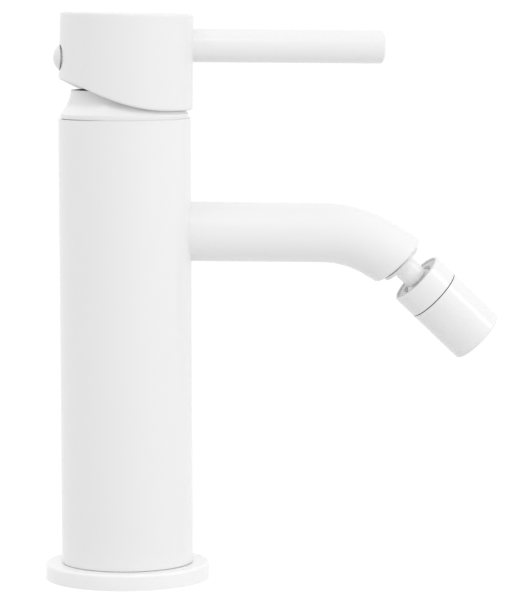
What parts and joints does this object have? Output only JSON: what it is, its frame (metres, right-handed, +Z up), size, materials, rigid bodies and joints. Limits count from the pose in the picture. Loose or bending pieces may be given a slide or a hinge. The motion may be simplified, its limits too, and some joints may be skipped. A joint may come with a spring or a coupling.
{
  "type": "bidet mixer",
  "caption": "White single-lever deck-mounted bidet mixer: round upright body, straight spout bent down at its end, swivelling ball-joint outlet and rod lever.",
  "frame": {"origin": "centre of the underside, on the body's axis", "axes": "+Z up along the body, +X towards the spout and the lever, +Y across"},
  "size_m": [0.1581, 0.056, 0.1939],
  "materials": {
    "white_paint": "satin white coating",
    "brass": "machined",
    "black_rubber": "matte",
    "grey_plastic": "matte",
    "white_plastic": "moulded",
    "blue_plastic": "moulded",
    "ceramic": "ground flat",
    "steel": "machined",
    "copper_tube": "drawn tube",
    "white_trim": "satin white"
  },
  "bodies": {
    "mixer": {"base_rosette": "white_paint", "base_gasket": "black_rubber", "mixer_body": "white_paint", "hot_supply_tube": "copper_tube", "cold_supply_tube": "copper_tube", "supply_tube_seals": "black_rubber", "spout_tube": "white_paint", "spout_seal": "black_rubber", "spout_washer": "black_rubber", "spout_adapter": "white_paint", "ball_nipple": "white_paint", "dome_collar": "white_paint", "collar_seal": "black_rubber", "cartridge_nut": "brass", "cartridge_housing": "white_plastic", "cartridge_base": "blue_plastic", "port_seals": "black_rubber", "fixed_disc": "ceramic", "limiter_ring": "blue_plastic"},
    "turret": {"cartridge_turret": "blue_plastic", "turret_seal": "black_rubber", "pivot_pin": "steel"},
    "discs": {"moving_disc": "ceramic", "disc_carrier": "white_plastic"},
    "lever": {"lever_stem": "brass", "lever_head": "white_paint", "lever_rod": "white_paint", "head_grub_screw": "steel", "cover_button": "white_trim"},
    "liner": {"ball_liner": "white_plastic"},
    "seat": {"ball_seat": "black_rubber"},
    "outlet": {"swivel_collar": "white_paint", "ball_retainer": "grey_plastic", "outlet_shell": "white_paint", "seat_seal": "black_rubber", "flow_washer": "black_rubber", "inlet_screen": "steel", "flow_disc": "white_plastic", "mixing_screens": "steel", "outlet_grid": "grey_plastic", "aerator_sleeve": "white_plastic"}
  },
  "joints": [
    {"name": "lever_turn", "type": "hinge", "parent": "mixer", "child": "turret", "pos_m": [0, 0, 0.163], "axis": [0, 0, 1], "range_deg": [-45, 45]},
    {"name": "lever_lift", "type": "hinge", "parent": "turret", "child": "lever", "pos_m": [0, 0, 0.163], "axis": [0, -1, 0], "range_deg": [0, 24]},
    {"name": "disc_slide", "type": "slide", "parent": "turret", "child": "discs", "axis": [1, 0, 0], "range_m": [0, 0.00815]},
    {"name": "outlet_turn", "type": "hinge", "parent": "mixer", "child": "liner", "pos_m": [0.10597, 0, 0.09709], "axis": [0.7218, 0, -0.6921], "continuous": true},
    {"name": "outlet_tilt", "type": "hinge", "parent": "liner", "child": "seat", "pos_m": [0.10597, 0, 0.09709], "axis": [0, 1, 0], "range_deg": [-15, 15]},
    {"name": "outlet_spin", "type": "hinge", "parent": "seat", "child": "outlet", "pos_m": [0.10597, 0, 0.09709], "axis": [0.7218, 0, -0.6921], "continuous": true}
  ],
  "couplings": [
    {"joint": "disc_slide", "follows": "lever_lift", "m_per_rad": 0.019455}
  ]
}
